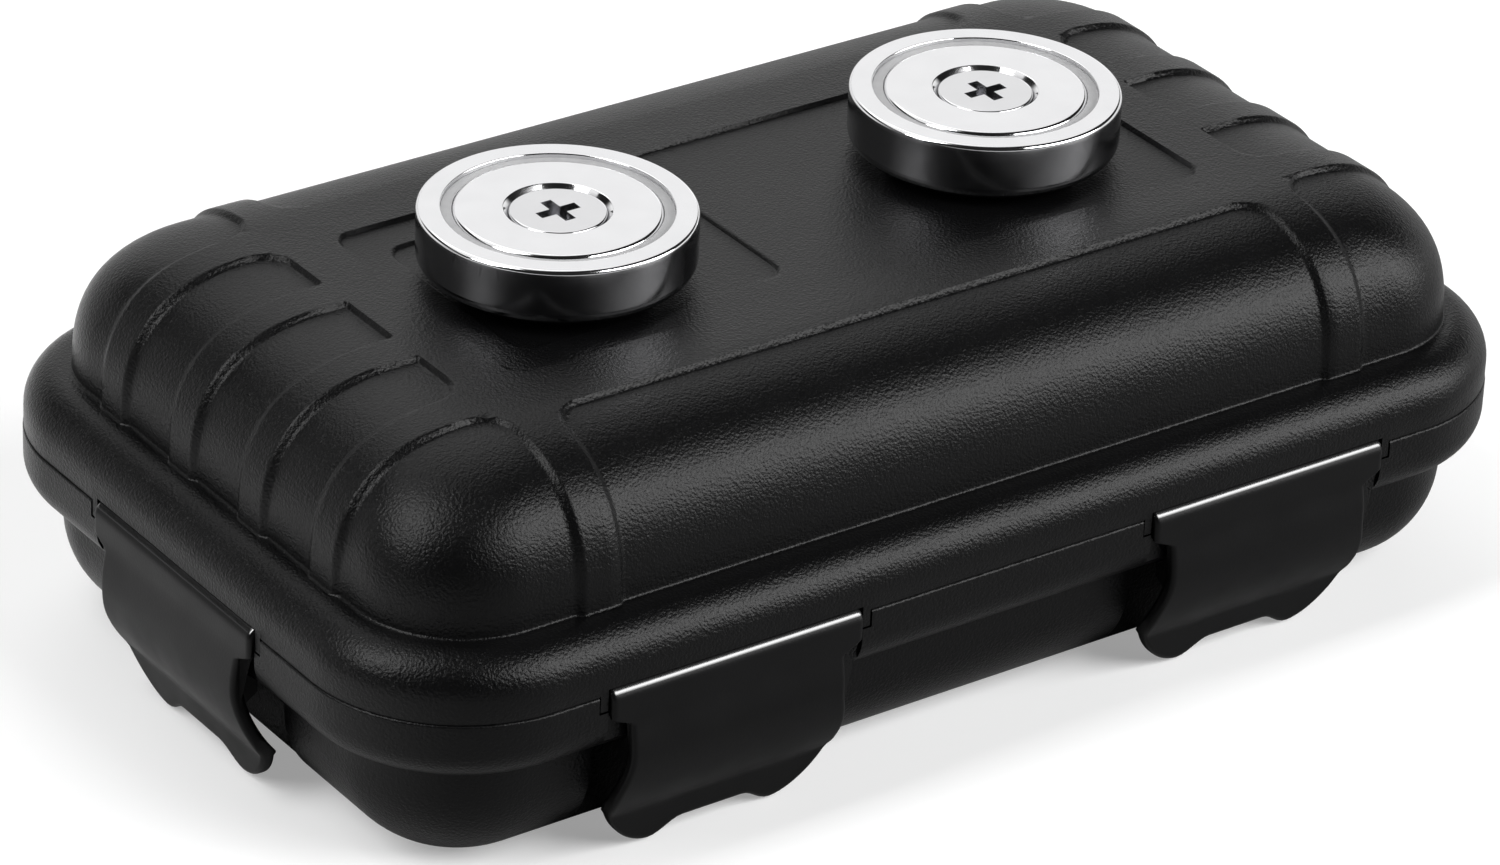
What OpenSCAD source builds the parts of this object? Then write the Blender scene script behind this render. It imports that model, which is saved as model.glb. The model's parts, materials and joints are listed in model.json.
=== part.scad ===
// Magnetic key holder box: a moulded two-part case, sealed and held by six flip-up latches,
// with two pot magnets screwed to the top. All sizes are in millimetres.
// +Z is up, X runs along the long sides, and the origin is under the middle of the base.

/* [Case] */
// Length of the lid rim
rim_l = 160; // [140:1:200]
// Width of the lid rim
rim_w = 95; // [85:1:120]
// Corner radius of the lid rim, seen from above
rim_r = 19; // [16:0.5:24]
// Depth of the base, from its foot to the parting plane
base_h = 23.4; // [22:0.1:40]
// Height of the lid above the parting plane
lid_h = 24.5; // [22:0.5:40]
// How far the lid's walls stand in from the lid rim
ledge = 5; // [4.6:0.1:6]
// How far the base's walls stand in from the lid rim
base_in = 4.4; // [4:0.1:5]
// How far the base rim stands out beyond the lid rim
base_out = 0.1; // [0:0.05:0.15]
// Wall thickness
wall = 3; // [2.6:0.1:3.5]
// Thickness of the lid's top
lid_top = 3.6; // [3:0.1:5]
// Straight height of the lid rim's edge
lid_lip = 2.4; // [2:0.1:3]
// Straight height of the base rim's edge
base_lip = 3.5; // [3.4:0.1:4]
// How far the lid's rounded edge runs in over the top
lid_run = 19; // [14:0.5:20]
// Fullness of the lid's rounded edge: 2 gives an ellipse, and more a squarer form
lid_form = 2.65; // [2:0.05:3]
// Straight height of the lid's wall between its rim and its rounded edge
lid_wall = 0.1; // [0.1:0.1:3]
// Corner radius left where the lid's rounded edge meets the flat top
top_r = 5; // [3:0.5:8]
// Radius of the base's bottom edge
foot_edge = 12; // [8:0.5:13]
// Corner radius left where the base's rounded edge meets the foot
foot_r = 2; // [1:0.5:8]

/* [Relief] */
// Depth of the pads between the raised bands
relief = 0.6; // [0.3:0.05:1]
// Width of the bands on the ends
end_band = 5.4; // [4:0.1:7]
// Spacing of the bands on the ends
end_pitch = 14.8; // [13:0.1:16]
// Distance from the middle to the inner ends of the end pads
end_pad_x = 55; // [52:0.5:58]
// Distance from the middle to the outer edge of the bands on the long sides
side_band_x = 54.5; // [50:0.5:58]
// Width of the bands on the long sides
side_band = 5.4; // [4:0.1:7]
// Distance from the middle to the upper edge of the long pads
side_pad_y = 27.3; // [24:0.1:30]
// Corner radius of the pads
pad_r = 3.8; // [1:0.1:4.5]
// Length of the panel recess on the top
panel_l = 96; // [80:1:100]
// Width of the panel recess on the top
panel_w = 38; // [34:1:44]
// Depth of the panel recess
panel_d = 0.5; // [0.3:0.05:0.9]
// Corner radius of the panel recess
panel_r = 2.5; // [1:0.1:4]
// Length of the second recess, round the left magnet
bay_l = 36; // [34:1:40]
// Width of the second recess
bay_w = 28; // [24:1:32]
// How far the middle of the second recess lies in from the left magnet's
bay_in = 4; // [2:0.5:6]
// Depth of the second recess below the panel
bay_d = 0.4; // [0.2:0.05:0.6]

/* [Seal] */
// Distance from the lid rim's edge to the seal groove
groove_in = 4.4; // [4.2:0.1:4.6]
// Width of the seal groove
groove_w = 2.4; // [2:0.1:2.6]
// Depth of the seal groove
groove_d = 2.6; // [2:0.1:3]
// Height of the seal
seal_h = 1.4; // [1:0.1:1.8]
// Side clearance of the seal in its groove
seal_gap = 0.1; // [0.05:0.01:0.2]
// Width of the tongue on the lid
tongue_w = 1.6; // [1.2:0.1:1.8]
// Gap between the tongue and the seal
tongue_gap = 0.1; // [0.05:0.01:0.3]

/* [Latches] */
// Width of a latch at its hinge
latch_w = 33.5; // [28:0.5:36]
// Distance of the long sides' latches from the middle
latch_x = 37.2; // [34:0.1:42]
// Width of a latch at its waist
waist_w = 28.4; // [24:0.1:30]
// Greatest width below the waist
flare_w = 30.4; // [28:0.1:34]
// Height of a latch below the parting plane
latch_drop = 23.2; // [20:0.1:23.2]
// Height of the notch between the two lobes of the pull
notch_h = 1.9; // [1:0.1:3]
// Width of the notch's flat top
notch_w = 8; // [2:0.5:9]
// Height of the slope from the strip to the waist
slope_h = 1.6; // [1.4:0.1:2]
// Height of the waist
waist_h = 3.6; // [3:0.1:4]
// Depth of the widest point of the pull below the parting plane
flare_down = 14.6; // [13:0.1:15.5]
// Distance of a lobe's lowest point from the latch's middle
lobe_x = 8.2; // [6:0.1:9]
// Height of the straight strip that covers the hinge
strip_h = 2.8; // [2.6:0.1:3.2]
// How far the strip stands out from the lid rim
strip_out = 0.7; // [0.6:0.1:0.9]
// How far the waist stands out from the lid rim
waist_out = 1.3; // [1.1:0.1:2]
// How far the upper edge of the pull's lip stands in from the lid rim
pull_in = 2.4; // [2:0.1:2.8]
// How much farther in the lip's lower edge stands
lip_in = 1.5; // [0.5:0.1:2]
// Height of the pull's lip
pull_h = 5.6; // [4.5:0.1:6]
// Thickness of a latch
latch_t = 1.7; // [1.4:0.1:2]
// Distance of the hinge axis in from the lid rim
axis_in = 1; // [0.9:0.05:1.1]
// Distance of the hinge axis below the parting plane
axis_down = 0.9; // [0.85:0.05:1]
// Radius of the latch pins
pin_r = 0.75; // [0.6:0.05:0.9]
// Running clearance of a latch on its pin
pin_gap = 0.03; // [0.02:0.01:0.08]
// Radial clearance round a latch's barrel
barrel_gap = 0.25; // [0.2:0.01:0.3]
// Thickness of the lid's hinge ears
ear_t = 1; // [0.8:0.1:1.4]
// Wall round the pin in an ear
ear_wall = 0.65; // [0.5:0.05:0.8]
// Gap between an ear and what it stands beside
ear_gap = 0.2; // [0.15:0.05:0.3]
// Thickness of the two hook ribs behind a latch
hook_t = 1.6; // [1.2:0.1:2.2]
// How far the hook ribs lie in from the edges of the waist
hook_in = 0.2; // [0.1:0.1:3]
// Gap between a hook rib and the base rim
hook_gap = 0.3; // [0.25:0.05:0.5]
// How far round the base rim's underside a hook rib reaches, in degrees
hook_turn = 62; // [50:1:65]
// Height of a hook rib's inner end
hook_h = 1.5; // [1:0.1:2]
// Width of the finger pocket behind a latch
pocket_w = 32; // [30:0.5:33]
// Depth of the finger pocket
pocket_d = 4; // [3:0.1:4.5]
// Wall thickness behind a finger pocket
pocket_wall = 2; // [1.6:0.1:3]

/* [Magnets] */
// Diameter of a magnet's cup
cup_d = 32; // [28:1:34]
// Height of the cup
cup_h = 7; // [6.6:0.1:8]
// Distance of the magnets from the middle
magnet_x = 30; // [28:0.5:34]
// Thickness of the cup's rim
cup_rim = 2.75; // [2:0.05:3]
// Thickness of the cup's floor
cup_floor = 2.2; // [2:0.1:2.6]
// Radius of the cup's lower edge
cup_edge = 1.6; // [1:0.1:2]
// Chamfer of the cup's upper edge
cup_bevel = 0.4; // [0.2:0.1:0.6]
// Diameter of the ring magnet
ring_d = 23.9; // [22:0.1:24.5]
// How far the ring magnet lies below the cup's rim
ring_low = 0.2; // [0.1:0.05:0.4]
// How far the potting lies below the cup's rim
filler_low = 0.5; // [0.3:0.05:0.9]
// Clearance between cup, potting and ring magnet
filler_gap = 0.02; // [0.01:0.01:0.05]
// Gap between the screw's head and the countersink, across the axis
seat_gap = 0.05; // [0.03:0.01:0.1]
// Diameter of the screw's head
head_d = 11.2; // [11:0.1:11.6]
// Height of the straight edge of the screw's head
head_lip = 0.3; // [0.2:0.05:0.4]
// How far the screw's head lies below the ring magnet
head_low = 0.3; // [0.25:0.05:0.5]
// Diameter of the screws
screw_d = 6; // [5.5:0.1:6]
// Length of the screws
screw_l = 18; // [17:0.5:20]
// Chamfer of a screw's tip
screw_tip = 0.8; // [0.4:0.1:1]
// Length of the cross in the screw's head
cross_l = 5.2; // [4:0.1:5.5]
// Width of the cross's slots
cross_w = 1.4; // [0.8:0.1:1.6]
// Depth of the cross
cross_d = 1.6; // [1:0.1:2]
// Diameter of the clearance holes for the screws
hole_d = 6.4; // [6.2:0.1:6.8]
// Diameter of the rubber washer under a magnet
pad_d = 22; // [16:1:26]
// Thickness of the rubber washer
pad_h = 1; // [0.8:0.1:1.4]
// Diameter of the steel washer inside the lid
washer_d = 12; // [11:0.5:16]
// Thickness of the steel washer
washer_h = 1.2; // [1:0.1:1.6]
// Width across flats of the nut
nut_af = 10; // [10:0.5:11]
// Height of the nut
nut_h = 5; // [4:0.1:5.2]
// Thread clearance of the nut on the screw
nut_gap = 0.03; // [0.02:0.01:0.06]

/* [Hidden] */
$fn = 64;
SHELL = "#1b1b1c";
LATCH = "#161617";
RUBBER = "#0f0f10";
CHROME = "#d9dadb";
STEEL = "#a9abad";
POTTING = "#8b8d8f";
FAR = 200;
OVER = 1;
TOP_STEPS = 11;
wall_r = rim_r - ledge;
lid_foot = base_h + lid_lip + ledge;
lid_z = base_h + lid_h;
base_wall_r = rim_r - base_in;
base_quarter = base_in + base_out;
base_foot = base_h - base_lip - base_quarter;
corner_y = 1.5 * end_pitch + end_band / 2;
end_pad_w = end_pitch - end_band;
panel_z = lid_z - panel_d;
bay_z = panel_z - bay_d;
bay_x = bay_in - magnet_x;
lid_inner = lid_z - lid_top;
lid_rise = lid_h - lid_lip - ledge - lid_wall;
shoulder = lid_z - lid_rise;
barrel_r = axis_in + strip_out;
recess_r = barrel_r + barrel_gap;
recess_w = latch_w + 2 * ear_gap;
ear_r = pin_r + ear_wall;
pin_l = recess_w + 2 * ear_t;
hook_r = base_quarter + hook_gap;
hook_x = (waist_w - hook_t) / 2 - hook_in;
waist_z = -(strip_h + slope_h);
bend_z = waist_z - waist_h;
lip_z = pull_h - latch_drop;
sweep_y = pull_in + waist_out;
seat_in = latch_t - waist_out + hook_gap;
cup_r = cup_d / 2;
cup_bore = cup_d - 2 * cup_rim;
ring_top = cup_h - ring_low;
sink_d = head_d + 2 * (head_low + head_lip + seat_gap);
seal_z = base_h - groove_d;

// Where the latches hang: [x, y, turn], each facing away from the middle
SPOTS = [
    [-latch_x, -rim_w / 2, 0], [latch_x, -rim_w / 2, 0],
    [-latch_x, rim_w / 2, 180], [latch_x, rim_w / 2, 180],
    [-rim_l / 2, 0, -90], [rim_l / 2, 0, 90]
];

// Points of the moulded shells. A row is [inset from the lid rim, height, corner radius].
function arc(n, a, b) = [for (i = [0:n]) a + (b - a) * i / n];
function flip(list) = [for (i = [len(list) - 1:-1:0]) list[i]];
function wave(t) = (1 - cos(180 * t)) / 2;
function ring(row, n) =
    let (x = rim_l / 2 - row[0] - row[2], y = rim_w / 2 - row[0] - row[2])
    [for (q = [0:3], a = arc(n, 90 * q, 90 * q + 90))
        [(q % 3 == 0 ? x : -x) + row[2] * cos(a), (q < 2 ? y : -y) + row[2] * sin(a), row[1]]];

// Rows of an edge that turns from upright to level, while the corner radius goes from r to r_end
function rounded(inset, z, run, rise, r, r_end, n, form = 2) = [
    for (a = arc(n, 0, 90))
        let (t = 1 - pow(cos(a), 2 / form))
        [inset + run * t, z + rise * pow(sin(a), 2 / form), r + (r_end - r) * t]
];

lid_rows = concat(
    [[0, base_h, rim_r]],
    rounded(0, base_h + lid_lip, ledge, ledge, rim_r, wall_r, 6),
    rounded(ledge, shoulder, lid_run, lid_rise, wall_r, top_r, TOP_STEPS, lid_form)
);
// The same form at the level of the pads
pad_rows = concat(
    [[ledge + relief, base_h + lid_lip, wall_r - relief]],
    rounded(ledge + relief, shoulder, lid_run, lid_rise - relief, wall_r - relief, top_r, TOP_STEPS, lid_form)
);
lid_cavity_rows = concat(
    [[ledge + wall, base_h - OVER, wall_r - wall]],
    rounded(ledge + wall, shoulder, lid_run - wall, lid_rise - lid_top, wall_r - wall, top_r, 9, lid_form)
);
base_rows = concat(
    flip(rounded(base_in, foot_edge, foot_edge, -foot_edge, base_wall_r, foot_r, 9)),
    flip(rounded(-base_out, base_h - base_lip, base_quarter, -base_quarter, rim_r + base_out, base_wall_r, 6)),
    [[-base_out, base_h, rim_r + base_out]]
);
base_cavity_rows = concat(
    flip(rounded(ledge + wall, foot_edge, foot_edge - wall, wall - foot_edge, wall_r - wall, foot_r, 8)),
    [[ledge + wall, base_h + OVER, wall_r - wall]]
);

// A closed solid through the rows, the lowest first
module loft(rows, n = 7) {
    m = 4 * (n + 1);
    top = m * (len(rows) - 1);
    polyhedron(
        [for (row = rows) each ring(row, n)],
        concat(
            [[for (i = [0:m - 1]) i]],
            [for (low = [0:m:top - m], i = [0:m - 1])
                [low + i, low + m + i, low + m + (i + 1) % m, low + (i + 1) % m]],
            [[for (i = [m - 1:-1:0]) top + i]]
        )
    );
}

// A plate with round corners, in plan
module plate(l, w, r) {
    square([l - 2 * r, w], center = true);
    square([l, w - 2 * r], center = true);
    for (x = [-1, 1], y = [-1, 1])
        translate([x * (l / 2 - r), y * (w / 2 - r)]) circle(r);
}

// The outline of the lid rim, moved in by an inset
module outline(inset) plate(rim_l - 2 * inset, rim_w - 2 * inset, rim_r - inset);

// A flat ring that follows the rim
module rim_ring(inset, width, z, height)
    translate([0, 0, z]) linear_extrude(height) difference() {
        outline(inset);
        outline(inset + width);
    }

// A pad between two bands on an end; only the outer corners of the outer two pads are round
module end_pad(k) {
    plate(FAR, end_pad_w, abs(k) * pad_r);
    translate([0, -k * pad_r / 2]) square([FAR, end_pad_w - abs(k) * pad_r], center = true);
}

// The pads between the raised bands, in plan
module pads()
    for (x = [-1, 1]) {
        for (k = [-1:1])
            translate([x * (end_pad_x + FAR / 2), k * end_pitch]) end_pad(k);
        translate([0, x * (side_pad_y + FAR / 2)]) plate(2 * (side_band_x - side_band), FAR, pad_r);
        for (y = [-1, 1])
            translate([x * (side_band_x + FAR / 2), y * (corner_y + FAR / 2)]) plate(FAR, FAR, pad_r);
    }

// Moves a latch's parts to one of its places; there -Y is outwards and z = 0 is the parting plane
module at_latch(i)
    translate([SPOTS[i][0], SPOTS[i][1], base_h]) rotate([0, 0, SPOTS[i][2]]) children();

module at_latches()
    for (i = [0:len(SPOTS) - 1]) at_latch(i) children();

// A bar along the latch's hinge axis
module bar(r, l)
    translate([-l / 2, axis_in, -axis_down]) rotate([0, 90, 0]) cylinder(r = r, h = l);

// A block that spans a width, from y0 to y1 and z0 to z1
module block(w, y0, y1, z0, z1)
    translate([-w / 2, y0, z0]) cube([w, y1 - y0, z1 - z0]);

// The two ears that carry a latch's pin, flush with the lid rim and without their bores
module ears()
    for (side = [-1, 1])
        translate([side * (recess_w + ear_t) / 2, 0, 0]) difference() {
            union() {
                bar(ear_r, ear_t);
                block(ear_t, 0, axis_in + ear_r, -axis_down, OVER);
            }
            block(ear_t + OVER, -FAR, 0, -FAR, FAR);
        }

// The room in the base rim for a latch, its barrel and the ears
module hinge_room() {
    block(recess_w, -OVER, seat_in, -FAR, OVER);
    bar(recess_r, recess_w);
    block(recess_w, -OVER, axis_in + recess_r, -axis_down, OVER);
    bar(ear_r + ear_gap, pin_l + 2 * ear_gap);
    block(pin_l + 2 * ear_gap, -OVER, axis_in + ear_r + ear_gap, -axis_down, OVER);
}

// The finger pocket behind a latch, grown by the wall that stands round it inside the base
module pocket(grow = 0)
    block(pocket_w + 2 * grow, -OVER, ledge + pocket_d + grow, -FAR, base_foot - base_h + grow);

module base_shell() color(SHELL) difference() {
    loft(base_rows);
    difference() {
        loft(base_cavity_rows);
        at_latches() pocket(pocket_wall);
    }
    at_latches() pocket();
    at_latches() hinge_room();
    rim_ring(groove_in, groove_w, seal_z, groove_d + OVER);
}

module lid_gasket() color(RUBBER)
    rim_ring(groove_in + seal_gap, groove_w - 2 * seal_gap, seal_z, seal_h);

module lid_shell() color(SHELL) difference() {
    union() {
        difference() {
            loft(lid_rows);
            translate([0, 0, lid_foot]) linear_extrude(lid_h) pads();
        }
        loft(pad_rows);
        rim_ring(groove_in + (groove_w - tongue_w) / 2, tongue_w, seal_z + seal_h + tongue_gap, groove_d);
        at_latches() ears();
    }
    loft(lid_cavity_rows);
    translate([0, 0, panel_z]) linear_extrude(lid_h) plate(panel_l, panel_w, panel_r);
    translate([bay_x, 0, bay_z]) linear_extrude(lid_h) plate(bay_l, bay_w, panel_r);
    at_latches() {
        bar(recess_r, recess_w);
        bar(pin_r, pin_l + OVER);
    }
    for (x = [-magnet_x, magnet_x])
        translate([x, 0, base_h]) cylinder(d = hole_d, h = lid_h + OVER);
}

// A latch from the side, as [y, z] points: down the outer face and up the inner one.
// Between the waist and the lip both faces sweep in, ever more steeply.
function sweep(t) = [sweep_y * t * t - waist_out, bend_z + (lip_z - bend_z) * t];
function sweep_normal(t) =
    let (along = [2 * sweep_y * t, lip_z - bend_z])
    [-along[1], along[0]] / norm(along);
function lip(y) = [pull_in + lip_in * (pull_h + OVER) / pull_h + y, -latch_drop - OVER];
latch_side = concat(
    [[-strip_out, -axis_down], [-strip_out, -strip_h], [-waist_out, waist_z]],
    [for (t = arc(10, 0, 1)) sweep(t)],
    [lip(0), lip(latch_t)],
    [for (t = arc(10, 1, 0)) sweep(t) + latch_t * sweep_normal(t)],
    [[latch_t - waist_out, waist_z], [latch_t / 2 - strip_out, -strip_h], [axis_in, -axis_down]]
);

// The right half of a latch from the front, as [x, z] points from the top down to the notch
LOBE_FORM = 1.15;
latch_half = concat(
    [[latch_w / 2, OVER]],
    [for (t = arc(6, 0, 1)) [(latch_w + (waist_w - latch_w) * wave(t)) / 2, -strip_h - slope_h * t]],
    [for (t = arc(6, 0, 1))
        [(waist_w + (flare_w - waist_w) * wave(t)) / 2, bend_z - (flare_down + bend_z) * t]],
    [for (a = [9:9:90]) [
        lobe_x + (flare_w / 2 - lobe_x) * pow(cos(a), LOBE_FORM),
        -flare_down - (latch_drop - flare_down) * pow(sin(a), LOBE_FORM)
    ]],
    [for (i = [1:6]) [lobe_x + (notch_w / 2 - lobe_x) * i / 6, notch_h * wave(i / 6) - latch_drop]]
);

module latch_body() color(LATCH) difference() {
    union() {
        intersection() {
            upright(latch_w) polygon(latch_side);
            rotate([90, 0, 0]) translate([0, 0, -FAR / 2]) linear_extrude(FAR)
                polygon(concat(latch_half, [for (p = flip(latch_half)) [-p[0], p[1]]]));
        }
        bar(barrel_r, latch_w);
        for (x = [-hook_x, hook_x])
            translate([x, 0, 0]) upright(hook_t) polygon(hook_side);
    }
    bar(pin_r + pin_gap, latch_w + OVER);
}

// A rib behind the latch that reaches in under the base rim
hook_side = concat(
    [for (a = arc(5, hook_turn / 2, hook_turn)) [base_in - hook_r * cos(a), -base_lip - hook_r * sin(a)]],
    [[base_in - hook_r * cos(hook_turn), -base_lip - hook_r * sin(hook_turn) - hook_h]],
    [for (t = [0.3, 0]) sweep(t) + [latch_t / 2, 0]]
);

// Extrudes a side view, drawn as [y, z], across a width
module upright(w)
    rotate([90, 0, 90]) translate([0, 0, -w / 2]) linear_extrude(w) children();

module latch_pin() color(STEEL) bar(pin_r, pin_l);

module front_latch_left() at_latch(0) latch_body();
module front_latch_right() at_latch(1) latch_body();
module rear_latch_left() at_latch(2) latch_body();
module rear_latch_right() at_latch(3) latch_body();
module end_latch_left() at_latch(4) latch_body();
module end_latch_right() at_latch(5) latch_body();
module front_latch_pin_left() at_latch(0) latch_pin();
module front_latch_pin_right() at_latch(1) latch_pin();
module rear_latch_pin_left() at_latch(2) latch_pin();
module rear_latch_pin_right() at_latch(3) latch_pin();
module end_latch_pin_left() at_latch(4) latch_pin();
module end_latch_pin_right() at_latch(5) latch_pin();

// Moves a magnet's parts onto its seal: side is -1 for the left magnet and 1 for the right one
module at_magnet(side)
    translate([side * magnet_x, 0, panel_z + pad_h]) children();

// A flat ring
module disc(d, hole, h) difference() {
    cylinder(d = d, h = h);
    translate([0, 0, -OVER]) cylinder(d = hole, h = h + 2 * OVER);
}

module cup() color(CHROME) rotate_extrude() polygon(concat(
    [[hole_d / 2, 0]],
    [for (a = arc(6, 0, 90)) [cup_r - cup_edge * (1 - sin(a)), cup_edge * (1 - cos(a))]],
    [[cup_r, cup_h - cup_bevel], [cup_r - cup_bevel, cup_h], [cup_bore / 2, cup_h]],
    [[cup_bore / 2, cup_floor], [hole_d / 2, cup_floor]]
));

module magnet() color(CHROME) rotate_extrude() polygon([
    [hole_d / 2, cup_floor], [ring_d / 2, cup_floor], [ring_d / 2, ring_top], [sink_d / 2, ring_top],
    [hole_d / 2, ring_top - (sink_d - hole_d) / 2]
]);

module filler() color(POTTING) translate([0, 0, cup_floor])
    disc(cup_bore - 2 * filler_gap, ring_d + 2 * filler_gap, cup_h - filler_low - cup_floor);

module screw() color(CHROME) translate([0, 0, ring_top - head_low]) difference() {
    rotate_extrude() polygon([
        [0, 0], [(head_d - head_lip) / 2, 0], [head_d / 2, -head_lip / 2], [head_d / 2, -head_lip],
        [screw_d / 2, -head_lip - (head_d - screw_d) / 2], [screw_d / 2, screw_tip - screw_l],
        [screw_d / 2 - screw_tip, -screw_l], [0, -screw_l]
    ]);
    for (turn = [0, 90])
        rotate([0, 0, turn]) translate([-cross_l / 2, -cross_w / 2, -cross_d])
            cube([cross_l, cross_w, cross_d + OVER]);
}

// The rubber washer that seals a screw hole; the left one is thicker, because it stands in the bay
module rubber(side, seat) color(RUBBER)
    translate([side * magnet_x, 0, seat]) disc(pad_d, hole_d, panel_z + pad_h - seat);

// The steel washer and the nut seat under the lid's top
module washer(side) color(STEEL)
    translate([side * magnet_x, 0, lid_inner - washer_h]) disc(washer_d, hole_d, washer_h);

module nut(side) color(STEEL)
    translate([side * magnet_x, 0, lid_inner - washer_h - nut_h]) difference() {
        cylinder(d = nut_af / cos(30), h = nut_h, $fn = 6);
        translate([0, 0, -OVER]) cylinder(d = screw_d + 2 * nut_gap, h = nut_h + 2 * OVER);
    }

module magnet_cup_left() at_magnet(-1) cup();
module magnet_cup_right() at_magnet(1) cup();
module magnet_ring_left() at_magnet(-1) magnet();
module magnet_ring_right() at_magnet(1) magnet();
module magnet_filler_left() at_magnet(-1) filler();
module magnet_filler_right() at_magnet(1) filler();
module magnet_screw_left() at_magnet(-1) screw();
module magnet_screw_right() at_magnet(1) screw();
module magnet_seal_left() rubber(-1, bay_z);
module magnet_seal_right() rubber(1, panel_z);
module magnet_washer_left() washer(-1);
module magnet_washer_right() washer(1);
module magnet_nut_left() nut(-1);
module magnet_nut_right() nut(1);

base_shell();
lid_shell();
lid_gasket();
front_latch_left();
front_latch_right();
rear_latch_left();
rear_latch_right();
end_latch_left();
end_latch_right();
front_latch_pin_left();
front_latch_pin_right();
rear_latch_pin_left();
rear_latch_pin_right();
end_latch_pin_left();
end_latch_pin_right();
magnet_cup_left();
magnet_cup_right();
magnet_ring_left();
magnet_ring_right();
magnet_filler_left();
magnet_filler_right();
magnet_screw_left();
magnet_screw_right();
magnet_seal_left();
magnet_seal_right();
magnet_washer_left();
magnet_washer_right();
magnet_nut_left();
magnet_nut_right();
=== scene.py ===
"""The looks of the magnetic key holder box: grained black shells, satin latches and plated pot magnets.

Lengths in this script are millimetres until a mesh is made, which turns them into metres.
"""

import json
import math

import bmesh
import bpy
import numpy as np
from mathutils import Matrix, Vector


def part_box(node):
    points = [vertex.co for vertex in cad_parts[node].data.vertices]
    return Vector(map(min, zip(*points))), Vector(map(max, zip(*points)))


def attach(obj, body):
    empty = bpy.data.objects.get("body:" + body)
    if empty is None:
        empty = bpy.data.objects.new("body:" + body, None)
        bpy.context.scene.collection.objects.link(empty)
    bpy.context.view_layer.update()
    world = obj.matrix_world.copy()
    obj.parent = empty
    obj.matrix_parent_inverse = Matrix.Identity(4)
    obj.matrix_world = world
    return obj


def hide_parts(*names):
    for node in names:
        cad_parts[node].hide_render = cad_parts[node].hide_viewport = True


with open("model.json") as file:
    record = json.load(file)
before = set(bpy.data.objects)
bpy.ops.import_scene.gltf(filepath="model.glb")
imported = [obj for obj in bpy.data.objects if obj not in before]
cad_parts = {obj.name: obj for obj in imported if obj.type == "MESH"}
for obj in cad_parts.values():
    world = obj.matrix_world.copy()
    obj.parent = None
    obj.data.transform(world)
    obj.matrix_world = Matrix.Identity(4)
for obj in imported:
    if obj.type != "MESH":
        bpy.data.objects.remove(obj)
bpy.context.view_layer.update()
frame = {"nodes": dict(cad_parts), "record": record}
MM = 0.001


def node_box(node):
    """Lowest and highest corner of a CAD node, in millimetres."""
    low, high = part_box(node)
    return low / MM, high / MM


# ---------------------------------------------------------------- sizes of the case

_, BASE_TOP = node_box("base_shell")
_, LID_TOP = node_box("lid_shell")
BASE_OUT = 0.1                       # the base rim stands this far out beyond the lid rim
RIM_X = BASE_TOP.x - BASE_OUT        # half length of the lid rim
RIM_Y = BASE_TOP.y - BASE_OUT        # half width of the lid rim
RIM_R = 19.0                         # corner radius of the lid rim
PARTING = BASE_TOP.z                 # height of the parting plane
LID_Z = LID_TOP.z                    # height of the lid's flat top
LEDGE = 5.0                          # the lid's walls stand this far in from the rim
BASE_IN = 4.4                        # and the base's walls this far
WALL = 3.0
WALL_R = RIM_R - LEDGE
LID_LIP = 2.4
LID_FOOT = PARTING + LID_LIP + LEDGE
LID_WALL = 0.1                       # upright stretch between the foot and the rounded edge
LID_RUN = 19.0
LID_FORM = 2.65                      # fullness of the rounded edge: 2 gives an ellipse
LID_RISE = LID_Z - LID_FOOT - LID_WALL
LID_INNER = LID_Z - 3.6
TOP_R = 5.0
FOOT_EDGE = 12.0
FOOT_R = 2.0
BASE_LIP = 3.5
BASE_QUARTER = BASE_IN + BASE_OUT
BASE_FOOT = PARTING - BASE_LIP - BASE_QUARTER
EDGE = 0.3                           # rounding of the moulded edges at the parting plane
FILLET = 0.35                        # fillet where the lid's wall meets its rim

RELIEF = 0.6                         # depth of the pads between the raised bands
END_BAND, END_PITCH, END_PAD_X = 5.4, 14.8, 55.0
SIDE_BAND, SIDE_BAND_X, SIDE_PAD_Y = 5.4, 54.5, 27.3
PAD_R = 3.8
CORNER_Y = 1.5 * END_PITCH + END_BAND / 2
PANEL_L, PANEL_W, PANEL_D, PANEL_R = 96.0, 38.0, 0.5, 2.5
BAY_L, BAY_W, BAY_D, BAY_X = 36.0, 28.0, 0.4, -26.0
STEP_WIDTH = 0.42                    # width of the slope at the edge of a recess
PAD_SLOPE, WALL_SLOPE = 0.58, 1.25   # width of a pad's edge on the flat top, and down on the walls

GROOVE_IN, GROOVE_W, GROOVE_D = 4.4, 2.4, 2.6
TONGUE_W, TONGUE_DROP = 1.6, 1.1

# ---------------------------------------------------------------- sizes of the latches

LATCH_W, WAIST_W, FLARE_W = 33.5, 28.4, 30.4
LATCH_X, LATCH_DROP = 37.2, 23.2
STRIP_H, SLOPE_H, WAIST_H, FLARE_DOWN = 2.8, 1.6, 3.6, 14.6
STRIP_OUT, WAIST_OUT, PULL_IN, LIP_IN, PULL_H = 0.7, 1.3, 2.4, 1.5, 5.6
LOBE_X, NOTCH_W, NOTCH_H, LOBE_FORM = 8.2, 8.0, 1.9, 1.15
LATCH_T = 1.7
SEAT_IN = LATCH_T - WAIST_OUT + 0.3
AXIS_IN, AXIS_DOWN = 1.0, 0.9
PIN_R = 0.75
BARREL_R = AXIS_IN + STRIP_OUT
RECESS_R = BARREL_R + 0.25
RECESS_W = LATCH_W + 0.4
EAR_T, EAR_R, EAR_GAP = 1.0, 1.4, 0.2
HOOK_R = BASE_QUARTER + 0.3
HOOK_T, HOOK_TURN, HOOK_H = 1.6, 62.0, 1.5
HOOK_X = (WAIST_W - HOOK_T) / 2 - 0.2
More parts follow.
